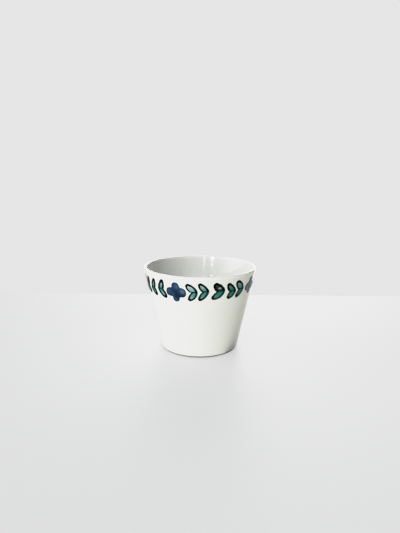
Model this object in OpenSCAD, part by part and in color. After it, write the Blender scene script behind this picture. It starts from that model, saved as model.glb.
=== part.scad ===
// Porcelain soba choko cup: a turned body, its glaze, and an enamel border of flowers and leaves.
// Millimetres, +Z up. The origin is the centre of the foot on the table, and -Y is the front.

/* [Cup] */
// Outside diameter at the lip
rim_d = 84; // [70:0.5:100]
// Height from the table to the top of the lip
cup_h = 62; // [50:0.5:80]
// Outside diameter of the wall where its slope meets the table
base_d = 58.8; // [48:0.2:66]

/* [Wall] */
// Thickness of the rounded lip
lip_t = 1.8; // [1.4:0.1:4]
// Thickness of the wall where it reaches the floor
wall_base_t = 3.6; // [2.6:0.1:5]
// Height of the inside floor above the table
floor_z = 7.5; // [6.5:0.1:10]
// Radius between the inside wall and the floor
floor_fillet = 7; // [3:0.5:10]

/* [Foot] */
// Depth of the hollow under the floor
recess_depth = 3; // [2.6:0.1:3.6]
// Width of the ring that stands on the table
foot_ring_w = 3.2; // [2:0.1:5]
// Height of the bevel round the outside of the foot
foot_bevel_h = 0.9; // [0.6:0.1:1.4]
// Width of the bevel round the outside of the foot
foot_bevel_w = 0.5; // [0.4:0.1:1.5]
// Slope of the inner side of the foot ring, from upright
foot_draft = 20; // [5:1:35]
// Radius between the foot ring and the roof of the hollow
recess_fillet = 1.2; // [0.6:0.1:1.6]

/* [Glaze] */
// Thickness of the glaze
glaze_t = 0.25; // [0.15:0.05:0.4]
// Height of the bare porcelain left below the glaze
bare_h = 1.5; // [1.4:0.1:2]

/* [Border] */
// Drop from the top of the lip to the middle of the flowers
flower_drop = 11.5; // [10.5:0.5:24]
// Drop from the top of the lip to the points of the leaf pairs
leaf_drop = 10.5; // [10:0.5:24]
// Size of a flower, from petal tip to petal tip
flower_d = 14.4; // [10:0.2:15]
// Width of a petal
petal_w = 5.6; // [4:0.1:6]
// Width of the round heart that fills the corners between the petals
heart_d = 8.6; // [8.5:0.1:9.8]
// Number of leaf pairs between two flowers
leaf_pairs = 5; // [2:1:6]
// Length of a leaf, from the point of its pair to its tip
leaf_l = 9.5; // [7.5:0.1:9.8]
// Angle of a leaf to the run of the border
leaf_angle = 40; // [36:1:46]
// Depth of a leaf pair between its point and the notch behind it
pair_notch = 3.6; // [2.5:0.1:4.4]
// How far a leaf bulges on its outer side
leaf_outer_bulge = 1.5; // [1:0.1:1.8]
// How far a leaf bulges on its inner side
leaf_inner_bulge = 1.1; // [0.6:0.1:1.3]
// Width of the drawn outline
line_w = 1.1; // [0.5:0.1:1.2]
// Space between a flower and the first leaf tip
spray_start = 0.3; // [0.2:0.1:1.5]
// Space between the last leaf pair and the next flower
spray_end = 2.4; // [0.5:0.1:3]
// Thickness of the blue flower enamel
flower_t = 0.3; // [0.1:0.05:0.5]
// Thickness of the green leaf enamel
fill_t = 0.25; // [0.1:0.05:0.5]
// Thickness of the black outline
line_t = 0.15; // [0.1:0.05:0.3]

/* [Hidden] */
$fn = 96;

// Points along a quarter of a rounded edge
arc_steps = 10;

FLOWERS = ["front", "right", "back", "left"];
// Turn of each flower round the cup: painted by eye, so they miss the quarter points a little
flower_turn = [-90, -3, 90, 181];
// Each spray of leaves grows from one flower to another
SPRAYS = [["front_right", 0, 1], ["back_right", 2, 1], ["back_left", 2, 3], ["front_left", 4, 3]];

lip_r = lip_t / 2;
lip_centre = [rim_d / 2 - lip_r, cup_h - lip_r];

// Slope from upright of a line through p that touches the lip's circle on its outer (1) or inner (-1) side
function slope_to_lip(p, side) =
    let (d = lip_centre - p)
    atan2(d.x, d.y) + side * asin(lip_r / norm(d));

flare = slope_to_lip([base_d / 2, 0], 1);

// Radius of the finished outside at a height
function wall_r(z) = base_d / 2 + z * tan(flare);

inner_corner = [wall_r(floor_z) - wall_base_t / cos(flare), floor_z];
inner_flare = slope_to_lip(inner_corner, -1);

function arc(centre, r, from, to, steps) =
    [for (i = [0 : steps]) centre + r * [cos(from + (to - from) * i / steps), sin(from + (to - from) * i / steps)]];

// Section of the glazed faces, from a height on the outside, over the lip, down the inside to the axis.
// inset moves the line into the porcelain.
function upper_line(inset, z) =
    let (
        fillet_r = floor_fillet + inset,
        reach = floor_fillet / tan((90 + inner_flare) / 2),
        fillet_centre = inner_corner + [-reach, floor_fillet]
    )
    concat(
        [[wall_r(z) - inset / cos(flare), z]],
        arc(lip_centre, lip_r - inset, -flare, 180 - inner_flare, 2 * arc_steps),
        arc(fillet_centre, fillet_r, -inner_flare, -90, arc_steps),
        [[0, floor_z - inset]]
    );

// Foot ring, from the bare porcelain: its outer edge, and its inner edge on the table
foot_out_r = wall_r(foot_bevel_h) - glaze_t / cos(flare) - foot_bevel_w;
foot_in_r = foot_out_r - foot_ring_w;

// Section of the hollow under the floor, from the ring's inner side at a height to the axis
function under_line(inset, z) =
    let (
        ring_r = foot_in_r - glaze_t / cos(foot_draft) + inset / cos(foot_draft),
        fillet_r = recess_fillet + inset,
        roof = recess_depth + inset,
        reach = recess_fillet * tan((90 - foot_draft) / 2),
        corner_r = foot_in_r - glaze_t / cos(foot_draft) - recess_depth * tan(foot_draft),
        fillet_centre = [corner_r - reach, recess_depth - recess_fillet]
    )
    concat(
        [[ring_r - z * tan(foot_draft), z]],
        arc(fillet_centre, fillet_r, foot_draft, 90, arc_steps),
        [[0, roof]]
    );

function reversed(list) = [for (i = [len(list) - 1 : -1 : 0]) list[i]];

module turned(section) rotate_extrude() polygon(section);

// Fired body: wall, floor and foot ring turned from one piece of porcelain
module porcelain_body() color("whitesmoke")
    turned(concat(
        reversed(upper_line(glaze_t, foot_bevel_h)),
        [[foot_out_r, 0]],
        under_line(glaze_t, 0)
    ));

// Glaze over the outside, the lip and the inside, stopping short of the foot
module cup_glaze() color("white")
    turned(concat(upper_line(0, bare_h), reversed(upper_line(glaze_t, bare_h))));

// Glaze in the hollow under the floor, stopping short of the table
module foot_glaze() color("white")
    turned(concat(under_line(0, bare_h), reversed(under_line(glaze_t, bare_h))));

// Turn round the cup of a length along the leaves
function turn_of(length) = length / wall_r(cup_h - leaf_drop) * 180 / PI;

// Skin of enamel on the outside of the glaze, tall enough for any motif
module enamel_skin(thickness) {
    low = cup_h - max(flower_drop, leaf_drop) - flower_d;
    high = cup_h - lip_t;
    stand = thickness / cos(flare);
    turned([[wall_r(low), low], [wall_r(low) + stand, low], [wall_r(high) + stand, high], [wall_r(high), high]]);
}

// Lays a flat motif on the wall at a turn round the cup and a drop from the lip, as seen from outside
module on_wall(turn, drop, thickness) {
    z = cup_h - drop;
    depth = flower_d / 2;
    intersection() {
        enamel_skin(thickness);
        rotate([0, 0, turn]) translate([wall_r(z), 0, z]) rotate([0, flare, 0]) rotate([90, 0, 90])
            translate([0, 0, -depth / 2]) linear_extrude(depth) children();
    }
}

// One petal and its opposite
module petal_bar() {
    tip = (flower_d - petal_w) / 2;
    square([2 * tip, petal_w], center = true);
    for (side = [-1, 1]) translate([side * tip, 0]) circle(d = petal_w);
}

module flower_shape() {
    petal_bar();
    rotate(90) petal_bar();
    circle(d = heart_d);
}

module flower(i) color("midnightblue") on_wall(flower_turn[i], flower_drop, flower_t) flower_shape();

// Run of a leaf pair along the border, and the tip of its upper leaf
pair_l = leaf_l * cos(leaf_angle);
leaf_tip = [-pair_l, leaf_l * sin(leaf_angle)];

// Disc whose edge runs from a to b and bulges to the right of that way, drawn in from its edge by inset
module bulged_side(a, b, bulge, inset) {
    way = (b - a) / norm(b - a);
    r = (pow(norm(b - a) / 2, 2) + bulge * bulge) / (2 * bulge);
    translate((a + b) / 2 + [way.y, -way.x] * (bulge - r)) circle(r = r - inset);
}

// Upper leaf of a pair that has its point at the origin, drawn in from its edge by inset
module upper_leaf(inset, floor_inset) intersection() {
    bulged_side([0, 0], leaf_tip, leaf_outer_bulge, inset);
    bulged_side(leaf_tip, [-pair_notch, 0], leaf_inner_bulge, inset);
    translate([-leaf_l, floor_inset]) square(leaf_l);
}

// Two leaves that share a mid line, point at the origin and open towards -X
module leaf_pair(inset, floor_inset) for (side = [0, 1]) mirror([0, side]) upper_leaf(inset, floor_inset);

module pair_fill() leaf_pair(line_w, line_w / 2);

module pair_outline() difference() {
    leaf_pair(0, 0);
    pair_fill();
}

function flower_at(i) = flower_turn[i % len(FLOWERS)] + 360 * floor(i / len(FLOWERS));

// Lays one leaf pair after another from one flower to the next, all pointing that way
module spray(from, to, thickness) {
    way = sign(flower_at(to) - flower_at(from));
    span = abs(flower_at(to) - flower_at(from));
    first = turn_of(flower_d / 2 + spray_start + pair_l);
    last = span - turn_of(flower_d / 2 + spray_end);
    for (k = [0 : leaf_pairs - 1])
        on_wall(flower_at(from) + way * (first + (last - first) * k / (leaf_pairs - 1)), leaf_drop, thickness)
            mirror([way < 0 ? 1 : 0, 0]) children();
}

module leaf_outlines(s) color("black") spray(s[1], s[2], line_t) pair_outline();

module leaf_fills(s) color("cadetblue") spray(s[1], s[2], fill_t) pair_fill();

porcelain_body();
cup_glaze();
foot_glaze();
for (i = [0 : len(FLOWERS) - 1])
    flower(i);
for (s = SPRAYS)
    leaf_outlines(s);
for (s = SPRAYS)
    leaf_fills(s);
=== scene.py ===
import math
import random

import bpy
from mathutils import Matrix, Vector


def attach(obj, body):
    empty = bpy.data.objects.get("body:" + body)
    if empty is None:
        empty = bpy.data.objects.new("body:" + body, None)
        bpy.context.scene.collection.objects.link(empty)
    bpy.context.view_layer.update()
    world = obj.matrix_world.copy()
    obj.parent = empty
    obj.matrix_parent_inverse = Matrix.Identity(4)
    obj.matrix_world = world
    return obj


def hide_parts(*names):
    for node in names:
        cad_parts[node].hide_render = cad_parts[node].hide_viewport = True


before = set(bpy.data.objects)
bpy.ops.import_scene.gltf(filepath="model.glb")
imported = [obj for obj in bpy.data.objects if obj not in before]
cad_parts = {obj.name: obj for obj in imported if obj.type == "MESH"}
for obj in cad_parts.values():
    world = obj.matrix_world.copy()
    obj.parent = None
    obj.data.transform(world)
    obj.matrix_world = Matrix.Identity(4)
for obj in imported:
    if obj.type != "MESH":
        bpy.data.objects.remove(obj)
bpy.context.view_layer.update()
mm = 0.001
print("frame loaded:", len(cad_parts), "nodes")


# small helpers for working by operator
def only(obj):
    bpy.ops.object.select_all(action="DESELECT")
    obj.select_set(True)
    bpy.context.view_layer.objects.active = obj


def edit(obj):
    only(obj)
    bpy.ops.object.mode_set(mode="EDIT")
    bpy.ops.mesh.select_all(action="SELECT")


def done():
    bpy.ops.object.mode_set(mode="OBJECT")


def copyOf(obj, name):
    made = obj.copy()
    made.data = obj.data.copy()
    made.name = made.data.name = name
    bpy.context.collection.objects.link(made)
    return made


def joined(parts, name):
    only(parts[0])
    for part in parts:
        part.select_set(True)
    bpy.ops.object.join()
    parts[0].name = parts[0].data.name = name
    return parts[0]


def discard(obj):
    bpy.data.meshes.remove(obj.data)


def settle(piece, node, material):                      # a finished piece, in place of its solid
    piece.data.materials.clear()
    piece.data.materials.append(material)
    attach(piece, "root")
    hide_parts(node)


def sway(rng, by):                                            # a random stray to either side
    return rng.uniform(-by, by)


# shader maths: a wire is one socket, and sums on wires add their nodes
class Wire:
    def __init__(self, tree, socket=None):
        self.tree = tree
        self.socket = socket

    def node(self, kind, settings, sockets, out=0):
        made = self.tree.nodes.new("ShaderNode" + kind)
        for key, value in settings.items():
            setattr(made, key, value)
        for key, value in sockets.items():
            if isinstance(value, Wire):
                self.tree.links.new(value.socket, made.inputs[key])
            else:
                made.inputs[key].default_value = value
        return Wire(self.tree, made.outputs[out] if len(made.outputs) else None)

    def calc(self, operation, first, second):
        return self.node("Math", {"operation": operation}, {0: first, 1: second})

    def __add__(self, other):
        return self.calc("ADD", self, other)

    def __radd__(self, other):
        return self.calc("ADD", other, self)

    def __sub__(self, other):
        return self.calc("SUBTRACT", self, other)

    def __rsub__(self, other):
        return self.calc("SUBTRACT", other, self)

    def __mul__(self, other):
        return self.calc("MULTIPLY", self, other)

    def __rmul__(self, other):
        return self.calc("MULTIPLY", other, self)

    def __truediv__(self, other):
        return self.calc("DIVIDE", self, other)

    def __pow__(self, other):
        return self.calc("POWER", self, other)

    def span(self, low, high):                                # smooth step, 0 at low and 1 at high
        return self.node("MapRange", {"interpolation_type": "SMOOTHSTEP"},
                         {"Value": self, "From Min": low, "From Max": high})

    def tint(self, first, second):                            # colour from first to second, on a Mix node's
                                                              # colour sockets: 6 and 7 in, 2 out
        return self.node("Mix", {"data_type": "RGBA"}, {0: self, 6: first, 7: second}, 2)

    def bumps(self, strength, depth):                         # a normal from heights, depth in mm
        return self.node("Bump", {}, {"Strength": strength, "Distance": depth * mm, "Height": self})

    def noise(self, place, scale, detail, warp=0.0):
        return self.node("TexNoise", {}, {"Vector": place, "Scale": scale, "Detail": detail,
                                          "Distortion": warp}, "Fac")

    def kept(self, name):                                     # a number kept on the points of a piece
        return self.node("Attribute", {"attribute_name": name}, {}, "Fac")


def paint(name):
    material = bpy.data.materials.new(name)
    material.use_nodes = True
    material.node_tree.nodes.clear()
    return material, Wire(material.node_tree)


def surface(wire, sockets):
    shader = wire.node("BsdfPrincipled", {}, sockets)
    wire.node("OutputMaterial", {}, {"Surface": shader})


def rgb(red, green, blue):
    return (red, green, blue, 1.0)


# camera, where the photograph was taken from
view = {
    "azimuth": 23.3,        # degrees from the front flower
    "distance": 297.7,      # mm from the axis of the cup, level
    "height": 121.5,        # mm above the table
    "pitch": 11.5,          # degrees down
    "roll": 0.53,           # degrees
    "focal": 401,           # in pixels of a frame 533 high
    "frameH": 533,
    "sensor": 36,
    "nearest": 10,          # mm, what is nearer isn't drawn
}

turn = math.radians(view["azimuth"])
cameraData = bpy.data.cameras.new("camera")
cameraData.sensor_width = view["sensor"]
cameraData.lens = view["focal"] * view["sensor"] / view["frameH"]
cameraData.clip_start = view["nearest"] * mm
camera = bpy.data.objects.new("camera", cameraData)
bpy.context.collection.objects.link(camera)
eye = Vector((math.sin(turn) * view["distance"], -math.cos(turn) * view["distance"], view["height"])) * mm
camera.matrix_world = (Matrix.Translation(eye)
                       @ Matrix.Rotation(turn, 4, "Z")
                       @ Matrix.Rotation(math.radians(90 - view["pitch"]), 4, "X")
                       @ Matrix.Rotation(math.radians(view["roll"]), 4, "Z"))
bpy.context.scene.camera = camera
print("camera set")


# the cup's section, in mm
cup = {
    "rimD": 84, "height": 62, "baseD": 58.8,
    "lipT": 1.8, "wallBaseT": 3.6, "floorZ": 7.5, "floorFillet": 7,
    "recessDepth": 3, "footRingW": 3.2, "footBevelH": 0.9, "footBevelW": 0.5,
    "footDraft": 20, "recessFillet": 1.2,
    "glazeT": 0.25, "bareH": 1.5,
    "footSoft": 0.25, "bevelSoft": 0.5,         # radius of the foot's worn edges, and of its bevel's top
    "ringDepth": 0.014, "ringPitch": 4.6, "ringFade": 16, "ringStep": 0.7,      # throwing rings left inside
    "ringSecond": 0.5, "ringCloser": 1.7,       # fainter rings among them: their share, and how much closer
    "lipSteps": 24, "filletSteps": 14, "roofSteps": 8, "softSteps": 4, "rollSteps": 6, "turnSteps": 240,
    "longest": 2.5,         # stretch of the section without a point
    "merged": 0.002,        # points this near become one
    "smoothAngle": 50,      # degrees, edges past it stay sharp
}
lipR = cup["lipT"] / 2
lipCentre = (cup["rimD"] / 2 - lipR, cup["height"] - lipR)


def slopeToLip(r, z, side):                                   # of a line that touches the lip's round
    dr, dz = lipCentre[0] - r, lipCentre[1] - z
    return math.atan2(dr, dz) + side * math.asin(lipR / math.hypot(dr, dz))


flare = slopeToLip(cup["baseD"] / 2, 0, 1)


def wallR(z):
    return cup["baseD"] / 2 + z * math.tan(flare)


innerR = wallR(cup["floorZ"]) - cup["wallBaseT"] / math.cos(flare)
innerFlare = slopeToLip(innerR, cup["floorZ"], -1)


def arcPoints(centre, r, start, end, steps):
    angles = [start + (end - start) * i / steps for i in range(steps + 1)]
    return [(centre[0] + r * math.cos(a), centre[1] + r * math.sin(a)) for a in angles]


def upperLine(inset, z):                                      # outside, over the lip, inside, to the axis
    fillet = cup["floorFillet"]
    reach = fillet / math.tan((math.pi / 2 + innerFlare) / 2)
    lip = arcPoints(lipCentre, lipR - inset, -flare, math.pi - innerFlare, cup["lipSteps"])
    bowl = arcPoints((innerR - reach, cup["floorZ"] + fillet), fillet + inset,
                     -innerFlare, -math.pi / 2, cup["filletSteps"])
    return [(wallR(z) - inset / math.cos(flare), z)] + lip + bowl + [(0, cup["floorZ"] - inset)]


footOutR = wallR(cup["footBevelH"]) - cup["glazeT"] / math.cos(flare) - cup["footBevelW"]
footInR = footOutR - cup["footRingW"]


def underLine(inset, z):                                      # the hollow under the floor
    draft, fillet = math.radians(cup["footDraft"]), cup["recessFillet"]
    ringR = footInR - cup["glazeT"] / math.cos(draft)
    cornerR = ringR - cup["recessDepth"] * math.tan(draft)
    reach = fillet * math.tan((math.pi / 2 - draft) / 2)
    return ([(ringR + inset / math.cos(draft) - z * math.tan(draft), z)]
            + arcPoints((cornerR - reach, cup["recessDepth"] - fillet), fillet + inset,
                        draft, math.pi / 2, cup["roofSteps"])
            + [(0, cup["recessDepth"] + inset)])


def softened(before, corner, after, r):                       # a corner of the section, worn round
    corner, steps = Vector(corner), cup["softSteps"]
    a, b = (Vector(before) - corner).normalized(), (Vector(after) - corner).normalized()
    half = a.angle(b) / 2
    reach = r / math.tan(half)
    centre = corner + (a + b).normalized() * r / math.sin(half)
    start, end = corner + a * reach - centre, corner + b * reach - centre
    sweep = start.angle_signed(end)
    return [tuple(centre + Matrix.Rotation(-sweep * i / steps, 2) @ start) for i in range(steps + 1)]


def spaced(points, longest):                                  # extra points along the long stretches
    made = [points[0]]
    for (r0, z0), (r1, z1) in zip(points, points[1:]):
        count = max(1, math.ceil(math.hypot(r1 - r0, z1 - z0) / longest))
        made += [(r0 + (r1 - r0) * i / count, z0 + (z1 - z0) * i / count) for i in range(1, count + 1)]
    return made


def ringed(top, bottom):                                      # the inner wall, with faint throwing rings
    made = []
    for r, z in spaced([top, bottom], cup["ringStep"]):
        fade = min(1, (top[1] - z) / cup["ringFade"], (z - bottom[1]) / cup["ringFade"])
        at = 2 * math.pi * z / cup["ringPitch"]
        wave = math.sin(at) + cup["ringSecond"] * math.sin(at * cup["ringCloser"])
        made.append((r + cup["ringDepth"] * fade * wave, z))
    return made


def rolled(outer, inner):                                     # drawn edge of the glaze, from inner to outer
    mid = ((outer[0] + inner[0]) / 2, outer[1])
    reach = (outer[0] - inner[0]) / 2
    angles = [math.pi * i / cup["rollSteps"] for i in range(1, cup["rollSteps"] + 1)]
    return [(mid[0] - reach * math.cos(a), mid[1] - abs(reach) * math.sin(a)) for a in angles]


def turned(name, section):
    points = [Vector((r, 0, z)) * mm for r, z in spaced(section, cup["longest"])]
    bpy.ops.object.select_all(action="DESELECT")
    bpy.ops.mesh.primitive_plane_add(size=mm)
    obj = bpy.context.object
    obj.name = obj.data.name = name
    edit(obj)
    bpy.ops.mesh.merge(type="CENTER")                         # one point to draw the section from
    bpy.ops.transform.translate(value=points[0])
    for here, there in zip(points, points[1:]):
        bpy.ops.mesh.extrude_vertices_move(TRANSFORM_OT_translate={"value": there - here})
    bpy.ops.mesh.select_all(action="SELECT")
    bpy.ops.mesh.spin(steps=cup["turnSteps"], angle=2 * math.pi, center=(0, 0, 0), axis=(0, 0, 1))
    bpy.ops.mesh.select_all(action="SELECT")
    bpy.ops.mesh.remove_doubles(threshold=cup["merged"] * mm)
    bpy.ops.mesh.delete_loose()
    bpy.ops.mesh.select_all(action="SELECT")
    bpy.ops.mesh.normals_make_consistent(inside=False)
    done()
    bpy.ops.object.shade_smooth_by_angle(angle=math.radians(cup["smoothAngle"]))
    return obj


outside, backing = upperLine(0, cup["bareH"]), upperLine(cup["glazeT"], cup["bareH"])
lipEnd = cup["lipSteps"] + 1                                  # where the lip meets the inner wall
innerWall = ringed(outside[lipEnd], outside[lipEnd + 1])
cupGlaze = turned("cup_glaze_skin", outside[:lipEnd] + innerWall + outside[lipEnd + 2:]
                  + backing[::-1] + rolled(outside[0], backing[0]))

roof, roofBack = underLine(0, cup["bareH"]), underLine(cup["glazeT"], cup["bareH"])
footGlaze = turned("foot_glaze_skin", roof + roofBack[::-1] + rolled(roof[0], roofBack[0]))

bodyTop = upperLine(cup["glazeT"], cup["footBevelH"])[::-1]
bodyUnder = underLine(cup["glazeT"], 0)
bevelTop, footOut, footIn = bodyTop[-1], (footOutR, 0), bodyUnder[0]
porcelain = turned("porcelain_cup", bodyTop[:-1]
                   + softened(bodyTop[-2], bevelTop, footOut, cup["bevelSoft"])
                   + softened(bevelTop, footOut, footIn, cup["footSoft"])
                   + softened(footOut, footIn, bodyUnder[1], cup["footSoft"])
                   + bodyUnder[1:])
print("cup turned:", len(cupGlaze.data.polygons), "glaze faces")


# laying paint on the wall
paintSmooth = 60                                              # degrees, edges past it stay sharp


def onWall(u, v, h, turnBy, drop):                            # along the border, up the wall, off the glaze
    z = cup["height"] - drop
    r = wallR(z) + v * math.sin(flare)
    a = math.radians(turnBy) + u / r
    out = r + h * math.cos(flare)
    up = z + v * math.cos(flare) - h * math.sin(flare)
    return Vector((out * math.cos(a), out * math.sin(a), up)) * mm


def backed(obj, thickness):                                   # closes a skin of paint behind
    only(obj)
    solid = obj.modifiers.new("back", "SOLIDIFY")
    solid.thickness = thickness * mm
    solid.offset = -1
    bpy.ops.object.modifier_apply(modifier=solid.name)
    bpy.ops.object.shade_smooth_by_angle(angle=math.radians(paintSmooth))


def keep(obj, name, values):                                  # a number on each point, for a finish to read
    layer = obj.data.attributes.new(name, "FLOAT", "POINT")
    layer.data.foreach_set("value", values)


# flowers: petals from the right one round to the lower one, and in front the corner that the brush filled
flower = {
    "turns": {"front": -90, "right": -3, "back": 90, "left": 181},
    "drop": 11.5, "petalCount": 4, "petalL": 7.2, "petalHalfW": 2.8, "heartR": 4.3,
    "shift": {"front": (-0.4, 0), "right": (-0.8, 0.8)},        # how far off their places they were painted
    "petals": {             # of the two that the photo shows: length, half width, direction
        "front": ((7.5, 3.55, 0), (7.25, 3.0, 91), (7.75, 3.3, 180), (7.25, 2.45, 270), (5.0, 1.7, 50)),
        "right": ((7.2, 2.9, 2), (7.0, 2.7, 88), (7.1, 2.9, 181), (5.9, 2.6, 270)),
    },
    "pools": {              # across, up, radius, and how much thinner the paint lies there
        "front": ((1.3, -3.0, 1.6, -1.0), (1.4, -0.6, 2.0, -0.55), (1.3, 4.4, 1.7, 0.45),
                  (-1.2, 5.0, 1.6, 0.2), (-5.0, 0.6, 1.6, 0.25), (5.2, 0.5, 2.3, 0.7),
                  (-0.6, -4.8, 1.4, 0.35), (-1.8, 0.4, 1.6, -0.2), (4.6, -2.6, 1.6, -0.7)),
        "right": ((0.6, -2.4, 1.8, -0.4), (-1.0, 0.8, 1.8, -0.3), (-4.6, 0.4, 2.0, 0.2),
                  (0.4, 4.6, 1.8, -0.2)),
    },
    "thin": 0.5, "faded": {"right": 0.65},      # how thin the paint lies, and how much paler some flowers are drawn
    "strayL": 0.3, "strayHalfW": 0.25, "strayTurn": 5,          # petals of the other two
    "poolCount": 7, "poolAway": 5, "poolR": (1.4, 2.6), "poolThin": (-0.7, 0.6),
    "blunt": 2.2,           # how square the end of a petal is: 2 is round
    "corner": 14,           # how sharp the corners between petals are
    "petalSide": 80,        # degrees to each side that a petal can fill
    "searchPast": 1.2, "halvings": 18,          # search for the edge of a petal
    "slip": 0.22,           # how far the brush strays, mm
    "waves": (3, 5, 7, 11, 17), "waveFall": 0.6, "waveLeast": 0.3,      # strays round the outline
    "edgePoints": 160,
    "rings": ((1.0, -0.02), (0.985, 0.1), (0.955, 0.18), (0.91, 0.22), (0.82, 0.22), (0.68, 0.2),
              (0.52, 0.19), (0.36, 0.18), (0.2, 0.18)),         # share of the outline, height
    "backT": 0.1,
    "seed": 11,
}


def petalReach(angle, petals):                                # how far the paint goes in a direction
    power = flower["corner"]
    total = flower["heartR"] ** power
    for direction, tip, half in petals:
        off = (angle - direction + math.pi) % (2 * math.pi) - math.pi
        if abs(off) > math.radians(flower["petalSide"]):
            continue
        centre = tip - half
        low, high = 0.0, tip * flower["searchPast"]
        for halving in range(flower["halvings"]):             # where the ray leaves a blunt petal
            mid = (low + high) / 2
            past, aside = max(0, mid * math.cos(off) - centre), abs(mid * math.sin(off))
            inside = (past / half) ** flower["blunt"] + (aside / half) ** flower["blunt"] < 1
            low, high = (mid, high) if inside else (low, mid)
        total += low ** power
    return total ** (1 / power)


def paintFlower(name, rng):
    petals, pools = flower["petals"].get(name), flower["pools"].get(name)
    if petals is None:                                        # a flower that the photo doesn't show
        petals = [(flower["petalL"] + sway(rng, flower["strayL"]),
                   flower["petalHalfW"] + sway(rng, flower["strayHalfW"]),
                   360 / flower["petalCount"] * k + sway(rng, flower["strayTurn"]))
                  for k in range(flower["petalCount"])]
        pools = [(sway(rng, flower["poolAway"]), sway(rng, flower["poolAway"]),
                  rng.uniform(*flower["poolR"]), rng.uniform(*flower["poolThin"]))
                 for k in range(flower["poolCount"])]
    petals = [(math.radians(direction), length, half) for length, half, direction in petals]
    waves = []
    for k in flower["waves"]:
        at, share = rng.uniform(0, 2 * math.pi), rng.uniform(flower["waveLeast"], 1)
        waves.append((k, at, flower["slip"] / k ** flower["waveFall"] * share))
    bpy.ops.object.select_all(action="DESELECT")
    bpy.ops.mesh.primitive_circle_add(vertices=flower["edgePoints"], radius=1)
    obj = bpy.context.object
    for point in obj.data.vertices:                           # the outline, in mm on the flat
        a = math.atan2(point.co.y, point.co.x)
        reach = petalReach(a, petals) + sum(size * math.sin(k * a + at) for k, at, size in waves)
        point.co = (reach * math.cos(a), reach * math.sin(a), flower["rings"][0][1])
    edit(obj)
    for (size, low), (nextSize, high) in zip(flower["rings"], flower["rings"][1:]):
        bpy.ops.mesh.extrude_edges_move(TRANSFORM_OT_translate={"value": (0, 0, high - low)})
        share = nextSize / size
        bpy.ops.transform.resize(value=(share, share, 1), center_override=(0, 0, 0))
    bpy.ops.mesh.edge_face_add()
    bpy.ops.mesh.poke()
    bpy.ops.mesh.select_all(action="SELECT")
    bpy.ops.mesh.normals_make_consistent(inside=False)
    done()
    rims, thins = [], []
    thin = flower["thin"] + flower["faded"].get(name, 0)
    shiftU, shiftV = flower["shift"].get(name, (0, 0))
    for point in obj.data.vertices:
        u, v, h = point.co
        rims.append(min(1.0, math.hypot(u, v) / petalReach(math.atan2(v, u), petals)))
        thins.append(thin + sum(amount * math.exp(-((u - x) ** 2 + (v - y) ** 2) / size ** 2)
                                for x, y, size, amount in pools))
        point.co = onWall(u + shiftU, v + shiftV, h, flower["turns"][name], flower["drop"])
    keep(obj, "rim", rims)
    keep(obj, "thin", thins)
    backed(obj, flower["backT"])
    obj.name = obj.data.name = "painted_flower_" + name
    return obj


rng = random.Random(flower["seed"])
flowers = {name: paintFlower(name, rng) for name in flower["turns"]}
print("flowers painted:", len(flowers))


# leaves: pairs that share a mid line, each drawn with its point at the origin and opening towards -u
leaf = {
    "drop": 10.5, "pairs": 5, "length": 9.5, "angle": 40,
    "start": 0.3, "end": 2.4,                   # space to the flowers at both ends of a spray
    "usual": ((9.5, 38, 1.3, 4.0, 0.1, 0.6, 0.1), (8.9, 41, 1.9, 2.8, 0.4, 1.0, 0.9)),
                            # upper and lower leaf: length, angle, outer bulge, notch, palest and deepest
                            # tone, how green its lines are
    "innerBulge": 1.1,
    "midEnd": 0.6,          # where the mid line stops short of the point
    "tuck": 0.3,            # of the wash, from the middle of the lines
    "washStart": 0.1,       # share of the leaf left dry at its tip
    "washH": 0.07, "washRim": 0.35, "washCrown": 4,             # height, share of it at the sides, flatness
    "gapTone": 1.5, "gap": (0.68, 0.12, 0.6, 0.3),
                            # a wash this dark has a gap: place and size along it, place and size across
    "rows": 18, "across": 8, "backT": 0.08,
    "seed": 23,
}
stray = {                   # how the pairs that the photo doesn't show differ from the usual one
    "angle": 4, "length": (0.94, 1.04), "bulge": (0.85, 1.2), "notch": 0.4,
    "outer": (0.95, 1.25), "inner": (1.0, 1.4),                 # how heavy the brush is
    "along": 0.9, "up": (-0.6, 0.4),
}
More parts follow.
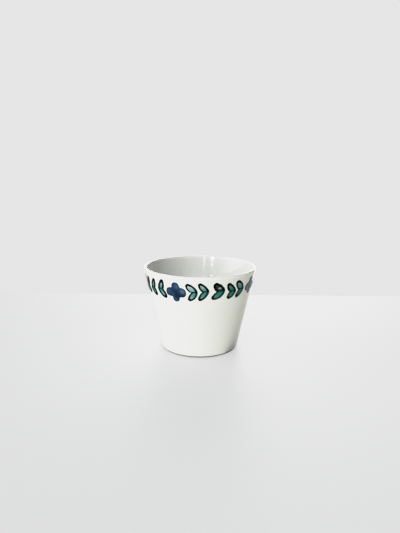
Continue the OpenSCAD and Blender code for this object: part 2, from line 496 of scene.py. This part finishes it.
drawn = {                   # pairs that the photo shows: slip along and up, then of the upper and the lower
                            # leaf its tip, bulge, notch and tone, the brush of its outer and inner line,
                            # and how green the lines are
    "front_right": (
        (-0.45, -0.1, (-7.3, 5.5, 1.6, 4.0, 0.15, 1.0, 1.0, 0.1),
         (-5.5, 6.3, 1.9, 2.2, 0.5, 1.0, 1.15, 0.8)),
        (-1.75, 0.5, (-6.7, 5.8, 1.25, 3.5, 0.35, 1.15, 1.1, 0.1),
         (-6.3, 6.6, 1.6, 2.6, 0.75, 1.0, 1.2, 1.0)),
        (0.5, 0.5, (-7.7, 5.6, 1.6, 5.0, 1.5, 1.3, 1.4, 0.0),
         (-8.7, 5.5, 2.5, 3.3, 0.9, 0.9, 1.2, 1.0)),
        (0.6, -0.4, (-7.1, 6.0, 1.0, 4.5, 0.8, 1.3, 1.5, 0.3),
         (-6.2, 5.3, 1.9, 3.2, 0.9, 1.3, 1.4, 0.7)),
        (-0.6, 0.0, (-7.9, 6.2, 1.7, 4.6, 0.45, 1.1, 1.2, 0.2),
         (-6.7, 5.8, 1.6, 3.0, 1.1, 0.9, 1.2, 1.1)),
    ),
    "front_left": (
        (0.9, 0.0, (-5.2, 7.2, 1.0, 3.8, 0.3, 1.75, 1.9, 0.3),
         (-7.3, 6.2, 2.1, 3.4, 0.6, 1.65, 2.0, 0.7)),
        (0.5, -0.8, (-5.7, 7.0, 1.2, 3.8, 0.8, 1.7, 1.9, 0.2),
         (-6.4, 5.5, 1.8, 3.2, 0.9, 1.7, 2.0, 0.5)),
        (0.0, -0.9, (-6.4, 7.4, 1.4, 3.8, 1.4, 2.3, 2.5, 0.0),
         (-7.2, 5.0, 1.9, 3.2, 1.15, 2.0, 2.2, 0.3)),
    ),
}
sprays = {                  # the flowers that each runs from and to, and a full turn where the count wraps
    "front_right": ("front", "right", 0), "back_right": ("back", "right", 0),
    "back_left": ("back", "left", 0), "front_left": ("front", "left", 360),
}
brush = {
    "outer": (2.4, 0.8, 2.0), "inner": (2.3, 0.9, 1.5), "mid": (1.5, 1.1, 1.6),     # widths, start to end
    "outerWet": (0, 2, 0), "innerWet": (0, 1, 1), "midWet": (0.7, 0.6, 0.2),        # shares of green
    "inset": 0.25, "heavyInset": 0.5,           # of the brush's path from the edge of the leaf
    "blob": 0.4,            # how much of a heavier brush shows at the tip
    "past": 0.07,           # share of an outer line that runs on past the point
    "uneven": 0.1, "wavers": 2, "waverTurns": (2, 5), "waverAt": (0, 6), "waverSize": (0.02, 0.06),
    "lineH": 0.16, "crown": 4, "sunk": 0.02,    # height, flatness, how deep the sides sit in the glaze
    "endW": 0.02,           # share of the width left at the very end
    "rows": 44, "across": 6, "lengthSteps": 20, "nearby": 0.01,         # nearby: to tell a line's direction
}


def arcPath(a, b, bulge):                                     # from a to b, bulging to the right
    a, b = Vector(a), Vector(b)
    way = (b - a).normalized()
    half = (b - a).length / 2
    r = (half * half + bulge * bulge) / (2 * bulge)
    centre = (a + b) / 2 + Vector((way.y, -way.x)) * (bulge - r)
    start, end = a - centre, b - centre
    sweep = start.angle_signed(end)
    return lambda s: centre + Matrix.Rotation(-sweep * s, 2) @ start


def inwards(path, first, last):                               # the same way, drawn in to the left
    def shifted(s):
        along = (path(s + brush["nearby"]) - path(s - brush["nearby"])).normalized()
        return path(s) + Vector((-along.y, along.x)) * (first + (last - first) * s)
    return shifted


def grid(rows, across):
    bpy.ops.object.select_all(action="DESELECT")
    bpy.ops.mesh.primitive_grid_add(x_subdivisions=rows, y_subdivisions=across, size=1)
    return bpy.context.object


strip = grid(brush["rows"], brush["across"])
patch = grid(leaf["rows"], leaf["across"])


def eased(values, s):                                         # from the first by the middle to the last
    first, middle, last = values
    return first * (1 - s) ** 2 + 2 * middle * s * (1 - s) + last * s * s


def brushLine(path, widths, wets, rng):
    obj = copyOf(strip, "line")
    widths = [w * rng.uniform(1 - brush["uneven"], 1 + brush["uneven"]) for w in widths]
    waver = [[rng.uniform(*brush[part]) for part in ("waverTurns", "waverAt", "waverSize")]
             for k in range(brush["wavers"])]
    steps = brush["lengthSteps"]
    length = sum((path((k + 1) / steps) - path(k / steps)).length for k in range(steps))
    loads, greens = [], []
    for point in obj.data.vertices:
        s = (1 - math.cos(math.pi * (point.co.x + 0.5))) / 2  # rows closer together at both ends
        side = 2 * point.co.y
        width = eased(widths, s)
        width *= 1 + sum(size * math.sin(turns * 2 * math.pi * s + at) for turns, at, size in waver)
        for near, end in ((s * length, widths[0] / 2), ((1 - s) * length, widths[2] / 2)):
            if near < end:                                    # round ends
                bulb = math.sqrt(max(0.0, 1 - (1 - near / end) ** 2))
                width *= bulb * (1 - brush["endW"]) + brush["endW"]
        along = (path(min(1, s + brush["nearby"])) - path(max(0, s - brush["nearby"]))).normalized()
        place = path(s) + Vector((-along.y, along.x)) * side * width / 2
        point.co = (place.x, place.y, brush["lineH"] * (1 - side ** brush["crown"]) - brush["sunk"])
        loads.append(abs(2 * s - 1))
        greens.append(eased(wets, s))
    keep(obj, "load", loads)
    keep(obj, "wet", greens)
    return obj


def wash(outer, inner, tone, wet):                            # between the two sides of a leaf, tip to base
    obj = copyOf(patch, "wash")
    start, rim = leaf["washStart"], leaf["washRim"]
    gapS, gapLength, gapT, gapWidth = leaf["gap"]
    alongs, acrosses, gaps = [], [], []
    for point in obj.data.vertices:
        s, t = start + (1 - start) * (point.co.x + 0.5), point.co.y + 0.5
        place = inner(s).lerp(outer(s), t)
        swell = 1 - (2 * t - 1) ** leaf["washCrown"]
        point.co = (place.x, place.y, leaf["washH"] * (rim + (1 - rim) * swell))
        alongs.append(s)
        acrosses.append(t)
        gap = math.exp(-((s - gapS) / gapLength) ** 2 - ((t - gapT) / gapWidth) ** 2)
        gaps.append(gap if tone >= leaf["gapTone"] else 0)
    keep(obj, "tone", [tone] * len(alongs))
    keep(obj, "wet", [wet] * len(alongs))
    keep(obj, "gap", gaps)
    keep(obj, "along", alongs)
    keep(obj, "across", acrosses)
    return obj


def strayed(rng):                                             # a pair as the hand might draw it
    leaves = []
    for length, angle, bulge, notch, pale, deep, wet in leaf["usual"]:
        angle = math.radians(angle + sway(rng, stray["angle"]))
        length *= rng.uniform(*stray["length"])
        leaves.append((-length * math.cos(angle), length * math.sin(angle),
                       bulge * rng.uniform(*stray["bulge"]), notch + sway(rng, stray["notch"]),
                       rng.uniform(pale, deep), rng.uniform(*stray["outer"]),
                       rng.uniform(*stray["inner"]), wet))
    return (sway(rng, stray["along"]), rng.uniform(*stray["up"]), *leaves)


def loaded(widths, heavy):                                    # widths of a heavier brush, less at the tip
    tip, middle, last = widths
    return tip * (1 + brush["blob"] * (heavy - 1)), middle * heavy, last * heavy


def paintPair(pair, rng):                                     # on the flat
    lines, fills = [], []
    slipU, slipV, upper, lower = pair
    midStart, midEnd = Vector((-max(upper[3], lower[3]), 0)), Vector((-leaf["midEnd"], 0))
    for side, (tipU, tipV, bulge, notch, tone, heavy, innerHeavy, wet) in ((1, upper), (-1, lower)):
        tip, base = Vector((tipU, tipV)), Vector((-notch, 0))
        outerIn, innerIn = [brush["inset"] + brush["heavyInset"] * (by - 1) for by in (heavy, innerHeavy)]
        outer = inwards(arcPath((0, 0), tip, bulge), outerIn, outerIn)
        inner = inwards(arcPath(tip, base, leaf["innerBulge"]), innerIn, 0)
        outerWet, innerWet = [[wet * share for share in brush[part]] for part in ("outerWet", "innerWet")]
        outerW, innerW = loaded(brush["outer"], heavy), loaded(brush["inner"], innerHeavy)
        made = [brushLine(lambda s: outer(1 - s * (1 + brush["past"])), outerW, outerWet, rng),
                brushLine(inner, innerW, innerWet, rng)]
        if side > 0:
            made.append(brushLine(lambda s: midStart.lerp(midEnd, s), brush["mid"], brush["midWet"], rng))
        outerTuck, innerTuck = [inwards(edge, leaf["tuck"], leaf["tuck"]) for edge in (outer, inner)]
        filled = wash(lambda s: outerTuck(1 - s), innerTuck, tone, wet)
        for obj in made + [filled]:
            if side < 0:                                      # the lower leaf is an upper one turned over
                for point in obj.data.vertices:
                    point.co.y = -point.co.y
                obj.data.flip_normals()
        lines += made
        fills.append(filled)
    for obj in lines + fills:
        for point in obj.data.vertices:
            point.co += Vector((slipU, slipV, 0))
    return lines, fills


def paintSpray(name, rng):
    source, sink, wrapBy = sprays[name]
    start, end = flower["turns"][source] + wrapBy, flower["turns"][sink]
    way = 1 if end > start else -1
    degrees = 180 / math.pi / wallR(cup["height"] - leaf["drop"])
    pairL = leaf["length"] * math.cos(math.radians(leaf["angle"]))
    first = (flower["petalL"] + leaf["start"] + pairL) * degrees
    last = abs(end - start) - (flower["petalL"] + leaf["end"]) * degrees
    shown = drawn.get(name, ())
    allLines, allFills = [], []
    for k in range(leaf["pairs"]):
        at = start + way * (first + (last - first) * k / (leaf["pairs"] - 1))
        lines, fills = paintPair(shown[k] if k < len(shown) else strayed(rng), rng)
        for obj in lines + fills:
            for point in obj.data.vertices:
                u, v, h = point.co
                point.co = onWall(way * u, v, h, at, leaf["drop"])
            if way < 0:
                obj.data.flip_normals()
        allLines += lines
        allFills += fills
    outlines = joined(allLines, "brushed_outlines_" + name)
    washes = joined(allFills, "leaf_washes_" + name)
    backed(outlines, leaf["backT"])
    backed(washes, leaf["backT"])
    return outlines, washes


rng = random.Random(leaf["seed"])
painted = {name: paintSpray(name, rng) for name in sprays}
discard(strip)
discard(patch)
print("leaves painted:", len(painted), "sprays")


# finishes: a noise is its scale, detail and warp, and a step is where a mask begins and where it is full
halfway = 0.5                                                 # middle of a noise, or of a leaf
glaze = {
    "pale": (0.825, 0.83, 0.80), "deep": (0.79, 0.80, 0.765),   # where it lies thin and thick
    "cloudNoise": (45, 2), "cloudStep": (0.3, 0.7),
    "pooled": (0.70, 0.75, 0.735), "poolStep": (4.0, 1.2),      # run down to its edge, by height in mm
    "cupPool": 0.5, "footPool": 0.3,
    "pin": (0.55, 0.5, 0.42), "pinScale": 150, "pinStep": (0.035, 0.015),       # pinholes
    "pinWhere": (0.56, 0.64), "pinShare": 0.25,
    "lip": (0.93, 0.93, 0.91), "lipStep": (2.2, 1.0),           # paler glaze at the lip, partly thinner glaze and partly a painted highlight; the step is by the drop from the top in mm
    "rippleNoise": (90, 1), "fineNoise": (420, 3), "fineShare": 0.08,
    "bump": 0.12, "bumpH": 0.12,
    "rough": 0.04, "cloudRough": 0.03, "coat": 0.3, "coatRough": 0.04,
}


def glazeFinish(name, pooling):
    material, wire = paint(name)
    place = wire.node("TexCoord", {}, {}, "Object")
    height = wire.node("SeparateXYZ", {}, {0: place}, "Z") / mm
    cloud = wire.noise(place, *glaze["cloudNoise"])
    fine = wire.noise(place, *glaze["fineNoise"])
    ripple = wire.noise(place, *glaze["rippleNoise"])
    pin = wire.node("TexVoronoi", {}, {"Vector": place, "Scale": glaze["pinScale"]}, "Distance")
    pin = pin.span(*glaze["pinStep"]) * fine.span(*glaze["pinWhere"])
    lipStep = [cup["height"] - drop for drop in glaze["lipStep"]]
    base = cloud.span(*glaze["cloudStep"]).tint(rgb(*glaze["deep"]), rgb(*glaze["pale"]))
    base = (height.span(*glaze["poolStep"]) * pooling).tint(base, rgb(*glaze["pooled"]))
    base = (pin * glaze["pinShare"]).tint(base, rgb(*glaze["pin"]))
    # painted highlight, partly thinner glaze: the top of the lip lighter than the wall
    base = height.span(*lipStep).tint(base, rgb(*glaze["lip"]))
    bump = (ripple + fine * glaze["fineShare"]).bumps(glaze["bump"], glaze["bumpH"])
    surface(wire, {"Base Color": base, "Roughness": glaze["rough"] + glaze["cloudRough"] * cloud,
                   "Normal": bump, "Coat Weight": glaze["coat"], "Coat Roughness": glaze["coatRough"]})
    return material


bare = {
    "clean": (0.72, 0.71, 0.68), "stained": (0.58, 0.56, 0.53), "pit": (0.4, 0.385, 0.36),
    "stainNoise": (160, 3), "stainStep": (0.35, 0.7),
    "grainNoise": (2600, 4), "pitStep": (0.6, 0.75), "pitShare": 0.5,
    "paintedFootShade": (0.13, 0.128, 0.12), "footShadeStep": (-0.1, 0.15),   # painted shade on the foot's outer bevel, for the dark line where the foot meets the table; the step is past the edge of the foot, in mm
    "bump": 0.4, "bumpH": 0.08,
    "rough": 0.62, "grainRough": 0.2,
}


def bareFinish():
    material, wire = paint("bare_porcelain")
    place = wire.node("TexCoord", {}, {}, "Object")
    grain = wire.noise(place, *bare["grainNoise"])
    stain = wire.noise(place, *bare["stainNoise"])
    out = wire.node("VectorMath", {"operation": "LENGTH"}, {0: place}, "Value") / mm
    footShadeStep = [footOutR + past for past in bare["footShadeStep"]]
    base = stain.span(*bare["stainStep"]).tint(rgb(*bare["clean"]), rgb(*bare["stained"]))
    base = (grain.span(*bare["pitStep"]) * bare["pitShare"]).tint(base, rgb(*bare["pit"]))
    # painted shade: the outer bevel of the foot darkened nearly to black, for the dark line along the table
    base = out.span(*footShadeStep).tint(base, rgb(*bare["paintedFootShade"]))
    surface(wire, {"Base Color": base, "Roughness": bare["rough"] + bare["grainRough"] * grain,
                   "Normal": grain.bumps(bare["bump"], bare["bumpH"])})
    return material


blue = {
    "dark": (0.003, 0.013, 0.036), "mid": (0.008, 0.03, 0.078), "light": (0.05, 0.09, 0.14),
    "faded": (0.16, 0.19, 0.28), "bleed": (0.13, 0.19, 0.27),
    "midStep": (0.0, 0.5), "lightStep": (0.5, 1.15), "fadedStep": (1.0, 1.5),   # by how thin it lies
    "edgeStep": (0.8, 0.96), "edgeShare": 0.4,                  # from the heart out to the rim
    "bleedStep": (0.97, 1.0), "bleedShare": 0.6,
    "poolNoise": (260, 3, 0.8), "poolShare": 0.9, "streakNoise": (800, 2), "streakShare": 0.35,
    "bump": 0.15, "bumpH": 0.06,
    "rough": 0.18, "streakRough": 0.12, "specular": 0.1,
}


def flowerFinish():
    material, wire = paint("flower_enamel")
    place = wire.node("TexCoord", {}, {}, "Object")
    rim, thin = wire.kept("rim"), wire.kept("thin")
    pool = wire.noise(place, *blue["poolNoise"])
    streak = wire.noise(place, *blue["streakNoise"])
    load = thin + (pool - halfway) * blue["poolShare"] + (streak - halfway) * blue["streakShare"]
    base = load.span(*blue["midStep"]).tint(rgb(*blue["dark"]), rgb(*blue["mid"]))
    base = load.span(*blue["lightStep"]).tint(base, rgb(*blue["light"]))
    base = load.span(*blue["fadedStep"]).tint(base, rgb(*blue["faded"]))
    base = (rim.span(*blue["edgeStep"]) * blue["edgeShare"]).tint(base, rgb(*blue["dark"]))
    base = (rim.span(*blue["bleedStep"]) * blue["bleedShare"]).tint(base, rgb(*blue["bleed"]))
    surface(wire, {"Base Color": base, "Roughness": blue["rough"] + blue["streakRough"] * streak,
                   "Normal": pool.bumps(blue["bump"], blue["bumpH"]),
                   "Specular IOR Level": blue["specular"]})
    return material


black = {
    "full": (0.0015, 0.0015, 0.0012), "teal": (0.002, 0.03, 0.028), "worn": (0.006, 0.034, 0.032),
    "thinNoise": (900, 3), "thinStep": (0.5, 0.8), "thinShare": 0.7,
    "endsKept": 0.8,        # how much less a line is worn at its ends
    "rough": 0.2, "thinRough": 0.2, "specular": 0.004,
}


def lineFinish():
    material, wire = paint("outline_enamel")
    place = wire.node("TexCoord", {}, {}, "Object")
    load, wet = wire.kept("load"), wire.kept("wet")
    thin = wire.noise(place, *black["thinNoise"])
    worn = thin.span(*black["thinStep"]) * (1 - load * black["endsKept"]) * black["thinShare"]
    base = worn.tint(wet.tint(rgb(*black["full"]), rgb(*black["teal"])), rgb(*black["worn"]))
    surface(wire, {"Base Color": base, "Roughness": black["rough"] + black["thinRough"] * thin,
                   "Specular IOR Level": black["specular"]})
    return material


green = {
    "white": (0.46, 0.5, 0.49), "pale": (0.25, 0.4, 0.43), "mid": (0.09, 0.22, 0.22),
    "teal": (0.03, 0.15, 0.13), "deep": (0.024, 0.022, 0.017), "pooled": (0.004, 0.07, 0.058),
    "midStep": (0.0, 0.5), "tealStep": (0.5, 1.0), "deepStep": (1.1, 1.5),      # by how dark the wash is
    "pooledStep": (0.45, 0.95), "pooledShare": 0.85,            # across to the outer line
    "gapStep": (0.3, 0.8),
    "whiteAlong": (0.75, 0.25), "whiteAcross": (0.15, 0.55), "whiteShare": 0.8,     # where the glaze shows
    "poolNoise": (420, 3, 0.5), "poolShare": 0.6, "alongShare": 0.3,
    "rough": 0.16, "poolRough": 0.1, "specular": 0.03,
}


def washFinish():
    material, wire = paint("leaf_enamel")
    place = wire.node("TexCoord", {}, {}, "Object")
    tone, along, across, wet = wire.kept("tone"), wire.kept("along"), wire.kept("across"), wire.kept("wet")
    pool = wire.noise(place, *green["poolNoise"])
    load = tone + (along - halfway) * green["alongShare"] + (pool - halfway) * green["poolShare"]
    pooled = across.span(*green["pooledStep"]) * wet
    white = along.span(*green["whiteAlong"]) * (1 - tone) * across.span(*green["whiteAcross"])
    base = load.span(*green["midStep"]).tint(rgb(*green["pale"]), rgb(*green["mid"]))
    base = load.span(*green["tealStep"]).tint(base, rgb(*green["teal"]))
    base = (pooled * green["pooledShare"]).tint(base, rgb(*green["pooled"]))
    base = load.span(*green["deepStep"]).tint(base, rgb(*green["deep"]))
    base = wire.kept("gap").span(*green["gapStep"]).tint(base, rgb(*green["pale"]))
    base = (white * green["whiteShare"]).tint(base, rgb(*green["white"]))
    surface(wire, {"Base Color": base, "Roughness": green["rough"] + green["poolRough"] * pool,
                   "Specular IOR Level": green["specular"]})
    return material


settle(cupGlaze, "cup_glaze", glazeFinish("white_glaze", glaze["cupPool"]))
settle(footGlaze, "foot_glaze", glazeFinish("foot_glaze", glaze["footPool"]))
settle(porcelain, "porcelain_body", bareFinish())
flowerPaint, linePaint, washPaint = flowerFinish(), lineFinish(), washFinish()
for name, obj in flowers.items():
    settle(obj, "flower_" + name, flowerPaint)
for name, (outlines, washes) in painted.items():
    settle(outlines, "leaf_outlines_" + name, linePaint)
    settle(washes, "leaf_fills_" + name, washPaint)
print("finishes on")


# table and light, square to the camera: azimuths are degrees right of it, seen from the cup
studio = {
    "tableW": 1800, "tableFront": 900, "tableBack": 142, "tableT": 30,
    "tableEdge": 2, "tableEdgeSteps": 3,
    "tablePale": (0.32, 0.325, 0.335), "tableDeep": (0.3, 0.305, 0.315), "tableNoise": (6, 2),
    "tableRough": 0.5, "tableGlow": 0.52,       # a lit shooting table
    "shade": (52, 38, 11, 0.4), "shadeSides": 48,
                            # azimuth, distance, radius and depth of the patch that the cup keeps dark
    "background": 0.89,     # what the camera sees behind the table
    "softboxFar": 1500, "aim": 50,              # distance, and the height that elevations start from
    "softboxes": ((-30, 7, 16.25, 31, 16), (-10.5, 5, 16.6, 34, 1.6)),
                            # azimuth, width, lowest and highest elevation, watts
    "glows": ((-90, 10, 6, 3.4, (0.95, 0.98, 1)), (174, 10, 10, 6.8, (1, 1, 0.98)),
              (-35, -35, 4, 0.9, (1, 1, 0.97)), (12, -35, 4, 1.2, (1, 1, 0.84)),
              (18, -8, 10, 1.1, (1, 1, 0.9)), (112, -14, 10, 0.3, (1, 1, 0.95))),
                            # azimuth, elevation, tightness, strength, colour
    "tone": ((0, 0), (0.4, 0.399), (0.6, 0.59), (0.75, 0.71), (0.9, 0.792), (1.05, 0.837), (1.3, 0.867),
             (2, 0.88), (3, 0.92), (4.5, 0.975), (6, 1)),       # light in the scene, and in the picture
}
facing = Matrix.Rotation(turn, 4, "Z")


def towards(azimuth, elevation):
    a, e = math.radians(azimuth), math.radians(elevation)
    return facing @ Vector((math.sin(a) * math.cos(e), -math.cos(a) * math.cos(e), math.sin(e)))


bpy.ops.object.select_all(action="DESELECT")
bpy.ops.mesh.primitive_cube_add(size=1)
table = bpy.context.object
table.name = "table"
edit(table)
tableD = studio["tableFront"] + studio["tableBack"]
bpy.ops.transform.resize(value=(studio["tableW"] * mm, tableD * mm, studio["tableT"] * mm))
bpy.ops.transform.translate(value=(0, (studio["tableBack"] - tableD / 2) * mm, -studio["tableT"] / 2 * mm))
bpy.ops.mesh.bevel(offset=studio["tableEdge"] * mm, segments=studio["tableEdgeSteps"], affect="EDGES")
done()
table.matrix_world = facing
table.visible_diffuse = table.visible_shadow = False          # low glows stand for the light it throws up

material, wire = paint("table_top")
place = wire.node("TexCoord", {}, {}, "Object")
cloud = wire.noise(place, *studio["tableNoise"])
surface(wire, {"Base Color": cloud.tint(rgb(*studio["tableDeep"]), rgb(*studio["tablePale"])),
               "Roughness": studio["tableRough"],
               "Emission Color": rgb(1, 1, 1), "Emission Strength": studio["tableGlow"]})
table.data.materials.append(material)

azimuth, away, shadeR, depth = studio["shade"]
bpy.ops.object.select_all(action="DESELECT")
bpy.ops.mesh.primitive_circle_add(vertices=studio["shadeSides"], radius=shadeR * mm, fill_type="NGON")
shade = bpy.context.object
shade.name = "shade"
shade.location = towards(azimuth, 0) * away * mm - Vector((0, 0, depth * mm))
material, wire = paint("shade")
surface(wire, {"Base Color": rgb(0, 0, 0), "Roughness": 1.0, "Specular IOR Level": 0.0})
shade.data.materials.append(material)

world = bpy.data.worlds.new("studio")
bpy.context.scene.world = world
world.use_nodes = True
world.node_tree.nodes.clear()
wire = Wire(world.node_tree)
way = wire.node("TexCoord", {}, {}, "Generated")
around = wire.node("Background", {}, {"Strength": 0.0})
for azimuth, elevation, tightness, strength, colour in studio["glows"]:
    source = towards(azimuth, elevation)
    glow = wire.node("VectorMath", {"operation": "DOT_PRODUCT"}, {0: way, 1: source}, "Value")
    glow = wire.calc("MAXIMUM", glow, 0.0) ** tightness * strength
    glow = wire.node("Background", {}, {"Color": rgb(*colour), "Strength": glow})
    around = wire.node("AddShader", {}, {0: around, 1: glow})
behind = wire.node("Background", {}, {"Color": rgb(1, 1, 1), "Strength": studio["background"]})
seen = wire.node("LightPath", {}, {}, "Is Camera Ray")
mixed = wire.node("MixShader", {}, {0: seen, 1: around, 2: behind})
wire.node("OutputWorld", {}, {"Surface": mixed})

for azimuth, width, low, high, watts in studio["softboxes"]:
    lampData = bpy.data.lights.new("softbox", "AREA")
    lampData.shape = "RECTANGLE"
    lampData.energy = watts
    bottom, top = (studio["aim"] + studio["softboxFar"] * math.tan(math.radians(e)) for e in (low, high))
    lampData.size = 2 * studio["softboxFar"] * math.tan(math.radians(width / 2)) * mm
    lampData.size_y = (top - bottom) * mm
    lamp = bpy.data.objects.new("softbox", lampData)
    bpy.context.collection.objects.link(lamp)
    side = towards(azimuth, 0)
    lamp.location = side * studio["softboxFar"] * mm + Vector((0, 0, (top + bottom) / 2 * mm))
    lamp.rotation_euler = (-side).to_track_quat("-Z", "Y").to_euler()
    lamp.visible_camera = False

settings = bpy.context.scene.view_settings
settings.view_transform = "Standard"
settings.use_curve_mapping = True                             # bright tones roll off, as in a camera
curves = settings.curve_mapping
curves.clip_max_x = studio["tone"][-1][0]
curve = curves.curves[3]                                      # the one for all colours together
curve.points[0].location = studio["tone"][0]
curve.points[1].location = studio["tone"][-1]
for point in studio["tone"][1:-1]:
    curve.points.new(*point)
curves.update()
print("studio lit")
